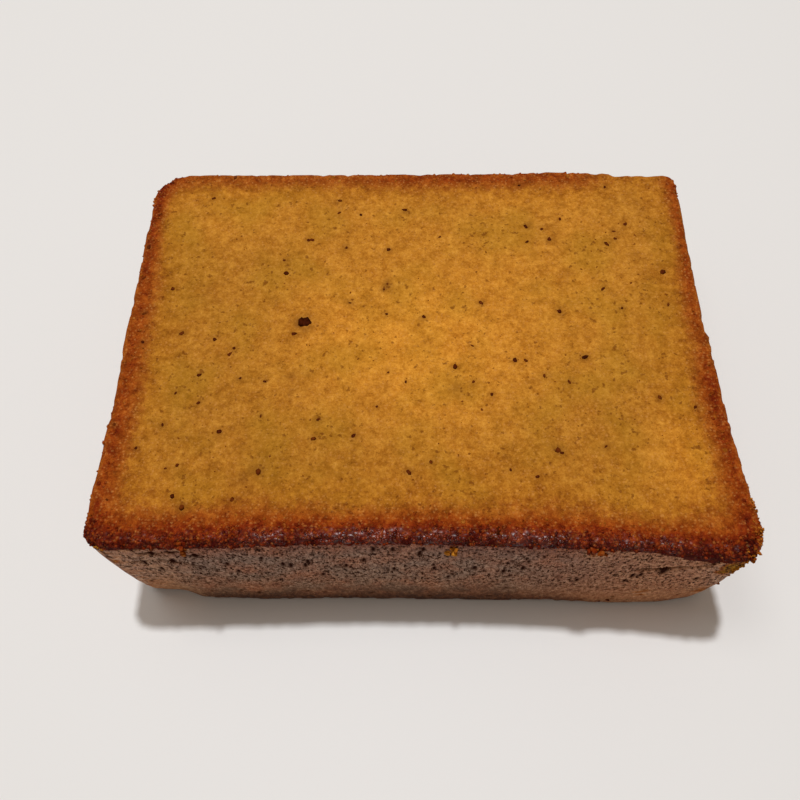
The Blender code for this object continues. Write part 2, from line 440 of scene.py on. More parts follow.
# %% [markdown]
# ## What shows in its own place
#
# Some marks are large enough to know the slice by: a crease where the skin folded, with a ridge above it, a
# few fine cracks at the left, nicks in the rim, and the deepest pits. They are given by the pixels where they
# show. So the form is first laid in the frame's box, where the camera sees it, and each mark is carved round
# the point that shows there.


# %% Fit the slice to the frame's box
def fit_to(points, low, high):
    """Slides and stretches points so that their box is exactly the given one."""
    own_low, own_high = points.min(0), points.max(0)
    return low + (points - own_low) * (high - low) / (own_high - own_low)


ROOM_BELOW = np.array([0.15, 0.15, 0.0]) * MM
ROOM_ABOVE = np.array([0.15, 0.15, 0.12]) * MM
room = (cad_low + ROOM_BELOW, cad_high - ROOM_ABOVE)
settled = fit_to(form, *room)


def found(pixels, among, laid):
    """The places on the form, among these points, that show nearest to the pixels when it is laid so."""
    return form[among[shown_at(pixels, laid[among])]]


print("fitting moves a point by up to", round(float(np.abs(settled - form).max() / MM), 2), "mm")

# %% The crease, its ridge and the cracks
FACES_FRONT = -0.7
CREASE = ((640, 569), (656, 569), (688, 567.5), (708, 565), (728, 562))
CREASE_DEPTH = 0.4 * MM
CREASE_HALF_WIDTH = 0.6 * MM
RIDGE_ABOVE = np.array([0, 0, 1.1]) * MM
RIDGE_HEIGHT = 0.2 * MM
CRACKS = (
    ((122, 547), (132, 549), (141, 549)),
    ((139, 553), (150, 553), (158, 554)),
    ((160, 561), (172, 562), (181, 563)),
    ((187, 555), (197, 556), (204, 557)),
    ((133, 561), (146, 562)),
    ((164, 552), (176, 553)),
    ((186, 565), (203, 566)),
)
CRACK_DEPTH = 0.2 * MM
CRACK_HALF_WIDTH = 0.42 * MM

front_wall = np.flatnonzero(on_wall & (outwards[:, 1] < FACES_FRONT))
crease_points = found(CREASE, front_wall, settled)


def gap_to_line(points, corners):
    """Each point's distance from a line through the corners: the least over its stretches, each one read at
    the nearest place along it."""
    gaps = []
    for start, end in zip(corners[:-1], corners[1:]):
        along = end - start
        t = np.clip((points - start) @ along / (along @ along), 0, 1)
        gaps.append(np.linalg.norm(points - start - t[:, None] * along, axis=1))
    return np.min(gaps, 0)


crease = soft_step(gap_to_line(form, crease_points), CREASE_HALF_WIDTH, 0) * on_wall
ridge = soft_step(gap_to_line(form, crease_points[2:] + RIDGE_ABOVE), CREASE_HALF_WIDTH, 0) * on_wall
relief += CREASE_DEPTH * crease - RIDGE_HEIGHT * ridge
cracks = np.zeros(len(form))
for crack in CRACKS:
    gaps = gap_to_line(form, found(crack, front_wall, settled))
    cracks = np.maximum(cracks, soft_step(gaps, CRACK_HALF_WIDTH, 0) * on_wall)
relief += CRACK_DEPTH * cracks
print("the crease is", round(float(np.linalg.norm(crease_points[-1] - crease_points[0]) / MM), 1), "mm long")

# %% The nicks and the deepest pits
# Where each shows, its reach and, for the nicks, its depth, in millimetres.
NICKS = (
    (127, 340, 0.9, 0.35), (107, 420, 0.8, 0.3), (90, 513, 0.7, 0.7), (96, 548, 0.9, 0.3),
    (613, 178, 0.8, 0.3), (709, 345, 0.7, 0.3), (758, 536, 0.7, 0.7),
)
DEEP_PITS = (
    (632, 575, 0.33), (641, 575, 0.28), (665, 572, 0.46), (625, 581, 0.28), (697, 579, 0.31),
    (290, 566, 0.33), (283, 564, 0.26), (307, 562, 0.28), (304, 565, 0.26), (372, 549, 0.26),
    (418, 554, 0.28), (424, 549, 0.26), (435, 568, 0.26), (476, 568, 0.28), (505, 572, 0.31),
    (523, 568, 0.31), (172, 562, 0.33), (162, 569, 0.26), (195, 556, 0.31), (150, 555, 0.31),
    (145, 562, 0.26), (576, 580, 0.26), (345, 566, 0.23), (394, 570, 0.23), (391, 550, 0.26), (528, 562, 0.2),
    (511, 577, 0.2), (238, 571, 0.23), (262, 558, 0.23), (227, 564, 0.23), (322, 575, 0.23), (365, 560, 0.23),
    (448, 577, 0.2),
)
DEEP_PIT_DEPTH = 0.2 * MM
PIT_STRETCH = (1.0, 1.0, 2.3)
PIT_EDGE = (1.5, 0.5)
NICKED_FROM = 0.2

upper_rim = np.flatnonzero((rim_nearness > NICKED_FROM) & (box_points[:, 2] > 0))
for pixel_x, pixel_y, reach, depth in NICKS:
    centre = found([(pixel_x, pixel_y)], upper_rim, settled)
    relief += depth * MM * soft_step(np.linalg.norm(form - centre, axis=1), reach * MM, 0)
deep_pits = np.zeros(len(form))
for pixel_x, pixel_y, reach in DEEP_PITS:
    centre = found([(pixel_x, pixel_y)], front_wall, settled)
    apart = np.linalg.norm((form - centre) / PIT_STRETCH, axis=1) / (reach * MM)
    deep_pits = np.maximum(deep_pits, soft_step(apart, *PIT_EDGE))
relief += DEEP_PIT_DEPTH * deep_pits
print(len(NICKS), "nicks and", len(DEEP_PITS), "deep pits")

# %% Carve the slice
resting = form[:, 2] < RIM_CELL / 4
carved = form - outwards * relief[:, None]
carved[resting, 2] = np.maximum(carved[resting, 2], 0)
skin_points = fit_to(carved, *room)
body.data.vertices.foreach_set("co", skin_points.astype(np.float32).ravel())
body.data.update()
print("the dressed slice is", np.round(np.ptp(skin_points, 0) / MM, 2), "mm")

# %% [markdown]
# ## How brown each point is
#
# Heat browns a cake from outside in, so colour follows the distance in from each wall. On this slice the
# loaf's top crust, at the front, is darkest and widest. The sides that lay against the tin are paler, and
# more so towards the tin's floor at the back. Each wall has three curves, read off the picture: how brown at
# so many millimetres in from it, how strong at so many millimetres along it, and how far the browning reaches
# there. Just under the rim, the crust's cut edge is dark all round.
#
# Each point keeps its browning as an attribute, which the finish reads.

# %% Browning, point by point
BROWNING = {
    "front": (
        ((0, 1.0), (1.4, 0.9), (2.6, 0.75), (3.6, 0.58), (4.9, 0.37), (6.6, 0.2), (9, 0.08), (16, 0)),
        ((-38, 0.92), (-26, 1.0)),
        ((-35, 0.94), (-24, 0.95), (-11, 1.02), (3, 0.96), (15, 1.01), (22, 0.92), (29, 0.77), (36, 0.8)),
    ),
    "left": (
        ((0, 0.6), (0.9, 0.78), (1.6, 0.8), (2.1, 0.72), (2.7, 0.61), (3.4, 0.46), (4.3, 0.27), (5.4, 0.13),
         (9, 0)),
        ((-25, 0.7), (-20, 0.78), (-15, 0.87), (0, 0.81), (9, 0.81), (19, 0.95)),
        ((-25, 1.05), (-8, 1.02), (0, 1.1), (9, 0.98), (19, 0.65)),
    ),
    "right": (
        ((0, 0.56), (0.9, 0.74), (1.6, 0.78), (2.1, 0.74), (2.7, 0.62), (3.4, 0.49), (4.3, 0.33), (5.4, 0.19),
         (12, 0)),
        ((-25, 0.84), (-16, 0.93), (-8, 1.0), (-1, 0.7), (9, 0.82), (19, 0.78)),
        ((-16, 0.97), (-8, 1.06), (-3, 1.02), (9, 0.82), (19, 0.68)),
    ),
    "back": (
        ((0, 0.64), (0.6, 0.68), (1.1, 0.7), (1.6, 0.64), (2.1, 0.5), (2.7, 0.38), (3.4, 0.25), (4.3, 0.14),
         (6, 0.03)),
        ((-30, 0.76), (-10, 0.78), (-2, 0.95), (10, 0.96), (24, 0.87), (30, 0.35)),
        ((-30, 1.14), (0, 1.2)),
    ),
}
RAGGED_SHARE = 0.08
RAGGED = ((1.6 * MM, 1.0, 41), (5.0 * MM, 0.7, 42))
EDGE_BROWNING = 0.86
EDGE_DEPTHS = (0.4 * MM, 1.1 * MM)

half_x, half_y = BOX[0] / 2, BOX[1] / 2
x, y, z = form.T
wall_gaps = {
    "front": half_y + box_points[:, 1],
    "left": half_x + box_points[:, 0],
    "right": half_x - box_points[:, 0],
    "back": half_y - box_points[:, 1],
}
raggedness = 1 + RAGGED_SHARE * layers(form, RAGGED)
unbrowned = np.ones(len(form))
for side, curves in BROWNING.items():
    inwards, strength_along, reach_along = (np.array(curve).T for curve in curves)
    along = (x if side in ("front", "back") else y) / MM
    reach = raggedness * np.interp(along, *reach_along)
    unbrowned *= 1 - np.interp(along, *strength_along) * np.interp(wall_gaps[side] / reach / MM, *inwards)
browning = np.clip(1 - unbrowned, 0, 1)
edge_browning = EDGE_BROWNING * soft_step(to_cut, *EDGE_DEPTHS)
browning = np.maximum(browning, edge_browning * on_wall)


def keep(made, name, values):
    """Stores one number for each point of a piece, for its finish to read."""
    made.data.attributes.new(name, "FLOAT", "POINT").data.foreach_set("value", np.asarray(values, np.float32))


keep(body, "browning", browning)
print("browning runs from", round(float(browning.min()), 2), "to", round(float(browning.max()), 2))

# %% [markdown]
# ## Paler and darker crumb
#
# The crumb is not one colour either. Its middle is palest, and it darkens softly outwards, with a pale patch
# near the right front corner. This is partly the crumb's own tone and partly painted light. Each patch is a
# soft hill over the cut face: its centre, how far it reaches each way, and how much lighter it is. The rest
# waits for the finish, which reads this as it reads the browning.

# %% Lightness, point by point
DARKEST_CRUMB = 0.705
UNEVEN_CRUMB = ((6 * MM, 0.03, 51),)
# Each patch is partly the crumb's own tone and partly painted light.
PALE_PATCHES_AND_PAINTED_LIGHT = {
    "middle": ((-1, -1), (17, 14), 0.395),
    "behind it": ((-22, 22), (32, 7), 0.13),
    "right front": ((36, -18), (8, 8), 0.3),
    "right of the middle": ((24, 4), (8, 8), 0.06),
    "left of the lip": ((-10, -17), (9, 6), -0.07),
    "back right": ((20, 19), (12, 16), 0.15),
}
lightness = np.full(len(form), DARKEST_CRUMB)
for (centre_x, centre_y), (reach_x, reach_y), amount in PALE_PATCHES_AND_PAINTED_LIGHT.values():
    way_off = ((x / MM - centre_x) / reach_x) ** 2 + ((y / MM - centre_y) / reach_y) ** 2
    lightness += amount * np.exp(-way_off)
lightness = layers(form, UNEVEN_CRUMB, lightness)
keep(body, "lightness", lightness)
print("lightness runs from", round(float(lightness.min()), 2), "to", round(float(lightness.max()), 2))

# %% [markdown]
# ## Glaze, hollows and tears
#
# Four more attributes. Where the knife cut the top crust, sugar and butter left a sticky dark lip that beads
# the light, more in some places than in others, and only on its upper side. Hollows are darker than what
# stands round them, which is painted shade. The crease, the cracks and the deepest pits count for more than
# 1, so that their painted shade stays dark almost to their edge. Where the skin tore away, orange under-crust
# or golden crumb shows. The torn places are given by where they show in the picture. Along the foot the skin
# is darkest, in a band that is tallest in the middle, which is painted shade where the slice meets the table.

# %% Glaze and hollows
GLAZE_FULL = 0.9 * MM
GLAZE_REACH = 2.2 * MM
GLAZE_PATCHES = (
    (-19 * MM, 7 * MM, 0.6), (-4 * MM, 13 * MM, 1.0), (13 * MM, 7 * MM, 1.0), (27 * MM, 7 * MM, 0.4),
)
GLAZE_UNDER = 0.9 * MM
GLAZE_LEAST = 0.15
glaze_along = GLAZE_LEAST + sum(amount * bell(x, middle, half) for middle, half, amount in GLAZE_PATCHES)
glaze = soft_step(wall_gaps["front"], GLAZE_REACH, GLAZE_FULL) * np.clip(glaze_along, 0, 1)
glaze *= soft_step(to_cut, GLAZE_UNDER, GLAZE_UNDER / 3)
keep(body, "glaze", glaze)

# Painted shade in the hollows: a pit is darker the deeper it is, and the crease, the cracks and the deepest
# pits are darkest.
CRUMB_PIT_FULL = 0.26 * MM
SKIN_PIT_FULL = 0.11 * MM
CREASE_PAINTED_SHADE = 1.1
CRACK_PAINTED_SHADE = 1.0
DEEP_PIT_PAINTED_SHADE = 1.4
hollow = np.clip(np.where(on_wall, skin_pits / SKIN_PIT_FULL, crumb_pits / CRUMB_PIT_FULL), 0, 1)
for darkness, mark in ((CREASE_PAINTED_SHADE, crease), (CRACK_PAINTED_SHADE, cracks), (DEEP_PIT_PAINTED_SHADE, deep_pits)):
    hollow += darkness * mark
keep(body, "hollow", hollow)
print(int((glaze > 0.3).sum()), "points are glazed and", int((hollow > 0.5).sum()), "are hollow")

# %% Tears and the painted shade at the foot
# Where each shows, how far it spreads, and how much is torn away.
TORN_PLACES = (
    (747, 563, 2.2, 1.0), (736, 567, 2.0, 1.0), (726, 572, 1.6, 0.9), (718, 581, 1.4, 0.6),
    (703, 590, 2.6, 0.6), (640, 592, 2.2, 0.5), (103, 552, 1.6, 0.45), (114, 561, 0.8, 0.6),
    (141, 577, 1.0, 0.6), (181, 550, 1.0, 0.6), (594, 553, 1.3, 0.6),
)
WORN_ENDS = ((0.24, 12 * MM, 32 * MM), (0.36, -26 * MM, -38 * MM))
TORN_REACH = 1.6 * MM
TORN_STRETCH = (1.0, 1.0, 1.4)
FIBRES = np.array([2.4, 2.4, 0.7]) * MM
FIBRE_CONTRAST = 0.9
FIBRE_MOST = 1.25
faces_camera = ((CAMERA_PLACE - form) * outwards).sum(1) > 0
walls = np.flatnonzero(on_wall & faces_camera)
torn = np.zeros(len(form))
for pixel_x, pixel_y, spread, amount in TORN_PLACES:
    centre = found([(pixel_x, pixel_y)], walls, skin_points)
    apart = np.linalg.norm((form - centre) / TORN_STRETCH, axis=1)
    torn = np.maximum(torn, amount * soft_step(apart, spread * TORN_REACH, 0))
worn = sum(amount * soft_step(x, start, full) for amount, start, full in WORN_ENDS)
torn = np.maximum(torn, worn) * np.clip(1 + FIBRE_CONTRAST * soft_noise(form, FIBRES, 61), 0, FIBRE_MOST)
keep(body, "torn", torn)

# Painted shade along the foot, where the slice meets the table: how tall the dark band is at each place along
# the front, in millimetres.
PAINTED_FOOT_SHADE_HEIGHTS = ((-40, 2.5), (-33, 6.0), (-26, 7.4), (-8, 9.0), (4, 9.0), (14, 6.8), (24, 3.4), (38, 2.5))
FOOT_RAGGED = ((3 * MM, 0.25, 63),)
FOOT_DARKEST = 0.1
foot_x, foot_height = np.array(PAINTED_FOOT_SHADE_HEIGHTS).T * MM
painted_foot_shade = soft_step(z / np.interp(x, foot_x, foot_height), layers(form, FOOT_RAGGED, 1.0), FOOT_DARKEST)
keep(body, "foot", painted_foot_shade)
print(int((torn > 0.2).sum()), "points are torn and", int((painted_foot_shade > 0.5).sum()), "are dark foot")

# %% [markdown]
# ## Leaf, stains and smudges
#
# The tea is ground leaf. Its largest flecks lie where they show in the picture, and in the warm, damp crumb
# each one has bled a little brown round itself. A few smudges have no leaf left to show. Both are one
# attribute, a soft round mark for each place.

# %% Where the leaves lie, and what they stain
# Where each shows, its length or reach in millimetres and, for the smudges, how dark it is.
LARGE_FLECKS = (
    (301, 322, 1.4), (304, 321, 1.5), (306, 323, 1.5), (308, 323, 1.3), (312, 241, 0.9), (310, 239, 0.6),
    (586, 356, 0.95), (456, 366, 0.8), (514, 360, 0.7), (524, 362, 0.6), (313, 438, 0.7), (408, 474, 0.8),
    (258, 472, 0.8), (559, 451, 0.8), (561, 454, 0.6), (482, 303, 0.8), (171, 497, 0.7), (181, 505, 0.8),
    (234, 498, 0.6), (292, 335, 0.75), (285, 274, 0.75), (285, 261, 0.5), (423, 318, 0.7), (389, 250, 0.6),
    (406, 211, 0.8), (215, 199, 0.8), (180, 334, 0.7), (216, 339, 0.6), (172, 290, 0.6), (525, 228, 0.8),
    (543, 229, 0.6), (548, 238, 0.7), (560, 219, 0.6), (626, 223, 0.7), (613, 232, 0.6), (616, 238, 0.5),
    (606, 245, 0.75), (661, 271, 0.8), (604, 289, 0.7), (669, 306, 0.6), (621, 308, 0.5), (472, 347, 0.5),
    (386, 315, 0.5), (353, 436, 0.6), (431, 461, 0.5), (606, 448, 0.5), (162, 426, 0.5), (200, 374, 0.6),
    (174, 393, 0.5), (340, 201, 0.6), (362, 214, 0.5), (440, 237, 0.5), (351, 303, 0.5), (149, 246, 0.8),
    (143, 277, 0.6), (142, 343, 0.6), (114, 425, 0.5), (108, 500, 0.4), (235, 178, 0.7), (497, 531, 1.0),
    (519, 186, 0.5), (606, 188, 0.6), (695, 407, 0.5), (385, 289, 0.4), (386, 283, 0.35), (406, 381, 0.45),
    (388, 372, 0.35), (136, 447, 0.5), (178, 466, 0.5), (164, 467, 0.45), (143, 313, 0.7), (559, 312, 0.7),
    (228, 355, 0.9), (317, 418, 0.5), (219, 431, 0.7), (570, 382, 0.6), (473, 382, 0.45), (493, 393, 0.45),
    (661, 398, 0.65), (339, 213, 0.7), (375, 408, 0.4), (261, 416, 0.45), (511, 471, 0.45), (546, 376, 0.55),
    (347, 247, 0.6), (527, 241, 0.6), (536, 477, 0.5), (197, 403, 0.6), (235, 349, 0.5), (240, 377, 0.5),
    (263, 380, 0.45),
)
SMUDGES = (
    (457, 387, 1.3, 0.3), (291, 374, 1.0, 0.35), (301, 377, 1.1, 0.4), (292, 391, 0.9, 0.3),
    (306, 392, 0.8, 0.25), (392, 285, 1.3, 0.4), (350, 302, 0.8, 0.35), (386, 389, 0.9, 0.3),
    (198, 296, 1.8, 0.1), (341, 204, 1.6, 0.2), (532, 228, 2.6, 0.13), (551, 232, 2.2, 0.12),
    (250, 478, 2.2, 0.4), (424, 364, 0.8, 0.2), (272, 300, 0.8, 0.2),
)
FLECK_HALO = 0.55
LEAST_HALO = 0.25
FLECK_STAIN = 0.5
BLOTCH_LEVEL = 0.8
BLOTCHES = ((1.0 * MM, 0.9, 62),)
BLOTCH_RANGE = (0.2, 1.3)
MOST_STAIN = 0.8
marks = [(*fleck[:2], fleck[2] * FLECK_HALO + LEAST_HALO, FLECK_STAIN) for fleck in LARGE_FLECKS]
marks += SMUDGES
upper_cut = np.flatnonzero(~on_wall & (box_points[:, 2] > 0))
mark_points = found([mark[:2] for mark in marks], upper_cut, skin_points)
clear = np.ones(len(form))
for (_, _, reach_mm, amount), centre in zip(marks, mark_points):
    clear *= 1 - amount * np.exp(-((form - centre) ** 2).sum(1) / (reach_mm * MM) ** 2)
blotched = np.clip(layers(form, BLOTCHES, BLOTCH_LEVEL), *BLOTCH_RANGE)
stain = np.clip((1 - clear) * blotched, 0, MOST_STAIN)
keep(body, "stain", stain)
print(len(LARGE_FLECKS), "flecks and", len(SMUDGES), "smudges stain", int((stain > 0.1).sum()), "points")

# %% [markdown]
# ## Colours and nodes
#
# Colours are picked as the eye sees them, in sRGB, but light adds up in linear numbers, so one function turns
# the first into the second. Another adds a shader node, sets its inputs and links it, all in one line.

# %% Two helpers for every finish
def linear(colour):
    """An sRGB hex colour as linear RGB with alpha 1. Each channel c becomes ((c + 0.055) / 1.055) ^ 2.4, or
    c / 12.92 where it is very dark."""
    channels = [int(colour[start:start + 2], 16) / 255 for start in (1, 3, 5)]
    return tuple(c / 12.92 if c <= 0.04045 else ((c + 0.055) / 1.055) ** 2.4 for c in channels) + (1.0,)


def add(tree, kind, inputs, take=0, stops=(), **settings):
    """Adds a node with its own settings, sets each input to a value or links it to another node's output, and
    gives back the output to take. Stops are a colour ramp's places, each with its hex colour or its grey."""
    node = tree.nodes.new(kind)
    for name, value in settings.items():
        setattr(node, name, value)
    for name, value in inputs.items():
        if isinstance(value, bpy.types.NodeSocket):
            tree.links.new(value, node.inputs[name])
        else:
            node.inputs[name].default_value = value
    for number, (place, value) in enumerate(stops):
        elements = node.color_ramp.elements
        element = elements[number] if number < 2 else elements.new(place)
        element.position = place
        element.color = linear(value) if isinstance(value, str) else (value, value, value, 1.0)
    return node.outputs[take]


print("helpers ready")


# %% An empty finish
def new_finish(name):
    """An empty material, with its tree, its shader and the object's own coordinates."""
    material = bpy.data.materials.new(name)
    material.use_nodes = True
    tree = material.node_tree
    place = add(tree, "ShaderNodeTexCoord", {}, take="Object")
    return material, tree, tree.nodes["Principled BSDF"], place


def per(size):
    """A pattern's scale, from the real size of one of its grains in metres."""
    return 1 / size


print("one millimetre of pattern has the scale", per(MM))

# %% [markdown]
# ## The cut crumb
#
# Pound cake crumb is butter, sugar, egg and flour set into a fine foam. It is matte, because its cut surface
# is all tiny hollows, with a glint here and there from fat or sugar. Those glints are painted highlights:
# pale dots mixed into the colour. It has no one grain size, so its noise runs from millimetres to a tenth of
# one with each octave nearly as strong as the last. Where that noise dips low, a pore or a speck of tea dust
# shows dark, and the pits in the mesh get painted shade. In the crust the granules are browner, with fewer
# painted glints, and at the lip they are glazed, which is a coat over the crumb.

# %% Finish: cut crumb
GRAIN = 1.6 * MM
SPECKS = 0.75 * MM
# The painted highlights: the spacing of their dots, and how many show at each browning.
PAINTED_GLINT_SPACING = 0.4 * MM
PAINTED_GLINT_SHARES = ((0.0, 0.42), (1.0, 0.15), (0.4, 0.46), (0.78, 0.34))
UNEVEN = (0.8 * MM, 0.8 * MM, 0.8 * MM)
DUSTY_PLACES = 7 * MM
GLAZE_BEADS = 0.9 * MM
GLAZE_GAPS = 2.2 * MM
CRUMB_COLOURS = (
    (0.0, "#CF892D"),
    (1.0, "#460B03"),
    (0.12, "#C77F25"),
    (0.22, "#BC7520"),
    (0.32, "#AE661C"),
    (0.42, "#A35818"),
    (0.54, "#984A11"),
    (0.67, "#8C3C0B"),
    (0.8, "#7A2807"),
)
# Specks of dust and pores, and the painted shade in the pits.
SPECKS_AND_PIT_SHADE_BROWN = "#682A04"
STAIN_BROWN = "#6E3E12"
DUSTY_OLIVE = "#A47A1A"
# The painted highlights' pale colour.
PAINTED_GLINT_PALE = "#D8964F"


def cut_crumb():
    """Browning picks the colour from a ramp, and lightness, which is partly painted light, and grain make it
    lighter or darker. Then painted glints, dust, pores with painted shade in their pits, and stains are laid
    over it, one after the other."""
    material, tree, shader, place = new_finish("baked_butter_crumb")
    brown, light, glaze, hollow, stain = (
        add(tree, "ShaderNodeAttribute", {}, take="Fac", attribute_name=name)
        for name in ("browning", "lightness", "glaze", "hollow", "stain")
    )
    elsewhere = add(tree, "ShaderNodeMapping", {0: place, "Location": (0.3, 0.5, 0.7)})
    fine = {"Scale": per(GRAIN), "Detail": 4.0, "Roughness": 0.95}
    grain = add(tree, "ShaderNodeTexNoise", {0: place, **fine})
    second = add(tree, "ShaderNodeTexNoise", {0: elsewhere, **fine})

    # How brown: the attribute, wavering from grain to grain.
    waver = add(tree, "ShaderNodeMath", {0: second, 1: 0.8, 2: -0.4}, operation="MULTIPLY_ADD")
    level = add(tree, "ShaderNodeMath", {0: brown, 1: waver}, operation="ADD")
    colour = add(tree, "ShaderNodeValToRGB", {0: level}, stops=CRUMB_COLOURS)

    # How light: the attribute, which is partly painted light and fades out in the crust, and the grain.
    crust = add(tree, "ShaderNodeMapRange", {0: brown, 1: 0.05, 2: 0.6, 3: 0.0, 4: 1.0})
    light = add(tree, "ShaderNodeMix", {0: crust, 2: light, 3: 1.0})
    contrast = add(tree, "ShaderNodeMapRange", {0: crust, 3: 1.0, 4: 1.15})
    shade = add(tree, "ShaderNodeMapRange", {0: grain, 1: 0.25, 2: 0.75, 3: -0.43, 4: 0.43})
    shade = add(tree, "ShaderNodeMath", {0: shade, 1: contrast, 2: 1.0}, operation="MULTIPLY_ADD")
    # Light that has bounced about in a hollow comes out of it deeper in colour, which is what a gamma does.
    deeper = add(tree, "ShaderNodeMapRange", {0: shade, 1: 0.5, 2: 1.5, 3: 1.22, 4: 0.82})
    colour = add(tree, "ShaderNodeGamma", {0: colour, 1: deeper})
    shade = add(tree, "ShaderNodeMath", {0: shade, 1: light}, operation="MULTIPLY")
    colour = add(tree, "ShaderNodeVectorMath", {0: colour, "Scale": shade}, operation="SCALE")

    # Painted highlights: pale dots that stand for glints, their outlines bent by the noise, and fewer of them
    # on the browned crust.
    swirl = second.node.outputs["Color"]
    bent = add(tree, "ShaderNodeVectorMath", {0: swirl, 1: UNEVEN, 2: place}, operation="MULTIPLY_ADD")
    glint_cells = add(tree, "ShaderNodeTexVoronoi", {"Vector": bent, "Scale": per(PAINTED_GLINT_SPACING)}, take="Color")
    from_grain = glint_cells.node.outputs["Distance"]
    glint_dots = add(tree, "ShaderNodeMapRange", {0: from_grain, 1: 0.5, 2: 0.15, 3: 0.0, 4: 1.0})
    full = add(tree, "ShaderNodeValToRGB", {0: brown}, stops=PAINTED_GLINT_SHARES)
    chosen = add(tree, "ShaderNodeMapRange", {0: glint_cells, 1: 0.35, 2: 0.8, 3: 0.0, 4: full})
    pale = add(tree, "ShaderNodeMath", {0: glint_dots, 1: chosen}, operation="MULTIPLY")

    # Pores and dust: where a finer noise dips low, and more where the tea lies thick and greens the crumb.
    dusty = add(tree, "ShaderNodeTexNoise", {0: place, "Scale": per(DUSTY_PLACES), "Detail": 1.0})
    olive = add(tree, "ShaderNodeMapRange", {0: dusty, 1: 0.45, 2: 0.7, 3: 0.0, 4: 0.28})
    olive = add(tree, "ShaderNodeMapRange", {0: crust, 3: olive, 4: 0.0})
    finer = {"Scale": per(SPECKS), "Detail": 2.0, "Roughness": 0.6}
    specks = add(tree, "ShaderNodeTexNoise", {0: elsewhere, **finer})
    edge = add(tree, "ShaderNodeMapRange", {0: dusty, 1: 0.35, 2: 0.75, 3: 0.33, 4: 0.42})
    depth = add(tree, "ShaderNodeMath", {0: edge, 1: specks}, operation="SUBTRACT")
    dots = add(tree, "ShaderNodeMapRange", {0: depth, 1: 0.0, 2: 0.1, 3: 0.0, 4: 0.6})
    # Painted shade in the pits.
    pit = add(tree, "ShaderNodeMath", {0: hollow, 1: 0.3}, operation="MULTIPLY")
    dots = add(tree, "ShaderNodeMath", {0: dots, 1: pit}, operation="MAXIMUM")
    for share, tint in ((pale, PAINTED_GLINT_PALE), (olive, DUSTY_OLIVE), (dots, SPECKS_AND_PIT_SHADE_BROWN), (stain, STAIN_BROWN)):
        colour = add(tree, "ShaderNodeMix", {0: share, 6: colour, 7: linear(tint)}, take=2, data_type="RGBA")

    # The glaze: a coat drawn up into beads, with gaps where the crust soaked it up.
    gaps = add(tree, "ShaderNodeTexNoise", {0: place, "Scale": per(GLAZE_GAPS), "Detail": 2.0})
    gaps = add(tree, "ShaderNodeMapRange", {0: gaps, 1: 0.35, 2: 0.52, 3: 0.08, 4: 0.8})
    coat = add(tree, "ShaderNodeMath", {0: glaze, 1: gaps}, operation="MULTIPLY")
    beads = add(tree, "ShaderNodeTexVoronoi", {"Vector": place, "Scale": per(GLAZE_BEADS)})
    beads = add(tree, "ShaderNodeMath", {0: beads, 1: 2.0}, operation="POWER")
    beads = add(tree, "ShaderNodeMath", {0: beads, 1: -1.0}, operation="MULTIPLY")
    beading = add(tree, "ShaderNodeBump", {"Height": beads, "Strength": 0.8, "Distance": 0.3 * MM})

    height = add(tree, "ShaderNodeMath", {0: dots, 1: -0.5, 2: grain}, operation="MULTIPLY_ADD")
    bump = add(tree, "ShaderNodeBump", {"Height": height, "Strength": 0.8, "Distance": 0.3 * MM})
    shader.inputs["Specular IOR Level"].default_value = 0.06
    shader.inputs["Roughness"].default_value = 0.85
    shader.inputs["Coat Roughness"].default_value = 0.31
    tree.links.new(coat, shader.inputs["Coat Weight"])
    tree.links.new(bump, shader.inputs["Normal"])
    tree.links.new(beading, shader.inputs["Coat Normal"])
    tree.links.new(colour, shader.inputs["Base Color"])
    return material


crumb_finish = cut_crumb()
print("made", crumb_finish.name)

# %% [markdown]
# ## The baked skin
#
# The skin dried and browned against paper and tin. It is closer than the crumb, so it has a low sheen, and
# seen at a slant it mirrors the pale table and looks greyer than it is. It is speckled with pores. They are
# drawn a little taller than they are wide, because a slanting view squeezes them and smaller ones would
# vanish.

# %% Finish: baked skin
SKIN_GRAIN = 0.52 * MM
SKIN_PORES = 0.42 * MM
SKIN_MOTTLE = 5 * MM
DRAWN_UP = (1.0, 1.0, 0.6)
# The darkest stop, at the bottom, is painted shade, and the stops at 0.16 and 0.3 are lifted as painted
# light. The rest is the skin's own colour.
SKIN_COLOURS_AND_PAINTED_LIGHT = (
    (0.0, "#70401F"),
    (0.97, "#8C4628"),
    (0.16, "#8E6648"),
    (0.3, "#9C7559"),
    (0.8, "#96745F"),
    (0.9, "#946249"),
)
RUDDY_SKIN = "#B46C42"
# Painted shade along the foot.
PAINTED_FOOT_SHADE_BROWN = "#48240E"
PORES_FROM = 4 * MM
PORES_FULL = 10 * MM
# Pore colour, and the painted shade in the hollows.
PORES_AND_HOLLOW_SHADE_BROWN = "#301004"
WORN_SKIN = "#C48E64"
UNDER_CRUST = "#A0561E"
TORN_CRUMB = "#A26C1A"
# For worn skin, under-crust and torn crumb: where each starts to show, where it is full, and how much shows.
WORN_TO_TORN = ((0.05, 0.4, 0.9), (0.35, 0.55, 0.9), (0.6, 0.8, 1.0))


